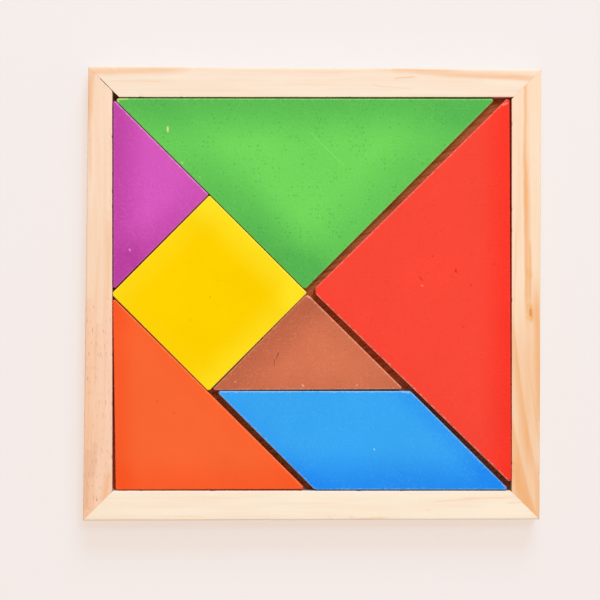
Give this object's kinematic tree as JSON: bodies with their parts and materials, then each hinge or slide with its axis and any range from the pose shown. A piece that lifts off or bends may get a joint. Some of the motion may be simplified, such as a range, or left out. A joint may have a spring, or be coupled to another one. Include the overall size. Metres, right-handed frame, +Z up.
{
  "type": "tangram puzzle",
  "caption": "Square pine tray with mitred rails and a plywood base, holding the loose painted tans of a tangram that lift out.",
  "frame": {"origin": "middle of the tray's box, on the surface that the tray lies on", "axes": "+Z up out of the tray; +X to the right and +Y to the top as the picture shows the tray from above"},
  "size_m": [0.1164, 0.1152, 0.01],
  "materials": {
    "pine": "bare sanded pine",
    "plywood": "bare reddish plywood",
    "green_paint": "thin satin paint on wood, specked and worn at the edges",
    "red_paint": "thin satin paint on wood, worn at the edges",
    "orange_paint": "thin satin paint on wood, worn at the edges",
    "purple_paint": "thin satin paint on wood, specked and worn at the edges",
    "brown_paint": "thin satin paint on wood, specked and worn at the edges",
    "yellow_paint": "thin satin paint on wood, worn at the edges",
    "blue_paint": "thin satin paint on wood, specked and worn at the edges"
  },
  "bodies": {
    "tray": {"top_rail": "pine", "right_rail": "pine", "bottom_rail": "pine", "left_rail_upper": "pine", "left_rail_lower": "pine", "base_board": "plywood"},
    "green_tan": {"large_triangle_green": "green_paint"},
    "red_tan": {"large_triangle_red": "red_paint"},
    "orange_tan": {"medium_triangle_orange": "orange_paint"},
    "purple_tan": {"small_triangle_purple": "purple_paint"},
    "brown_tan": {"small_triangle_brown": "brown_paint"},
    "yellow_tan": {"square_yellow": "yellow_paint"},
    "blue_tan": {"parallelogram_blue": "blue_paint"}
  },
  "joints": [
    {"name": "lift_green", "type": "slide", "parent": "tray", "child": "green_tan", "axis": [0, 0, 1], "range_m": [0, 0.03]},
    {"name": "lift_red", "type": "slide", "parent": "tray", "child": "red_tan", "axis": [0, 0, 1], "range_m": [0, 0.03]},
    {"name": "lift_orange", "type": "slide", "parent": "tray", "child": "orange_tan", "axis": [0, 0, 1], "range_m": [0, 0.03]},
    {"name": "lift_purple", "type": "slide", "parent": "tray", "child": "purple_tan", "axis": [0, 0, 1], "range_m": [0, 0.03]},
    {"name": "lift_brown", "type": "slide", "parent": "tray", "child": "brown_tan", "axis": [0, 0, 1], "range_m": [0, 0.03]},
    {"name": "lift_yellow", "type": "slide", "parent": "tray", "child": "yellow_tan", "axis": [0, 0, 1], "range_m": [0, 0.03]},
    {"name": "lift_blue", "type": "slide", "parent": "tray", "child": "blue_tan", "axis": [0, 0, 1], "range_m": [0, 0.03]}
  ]
}
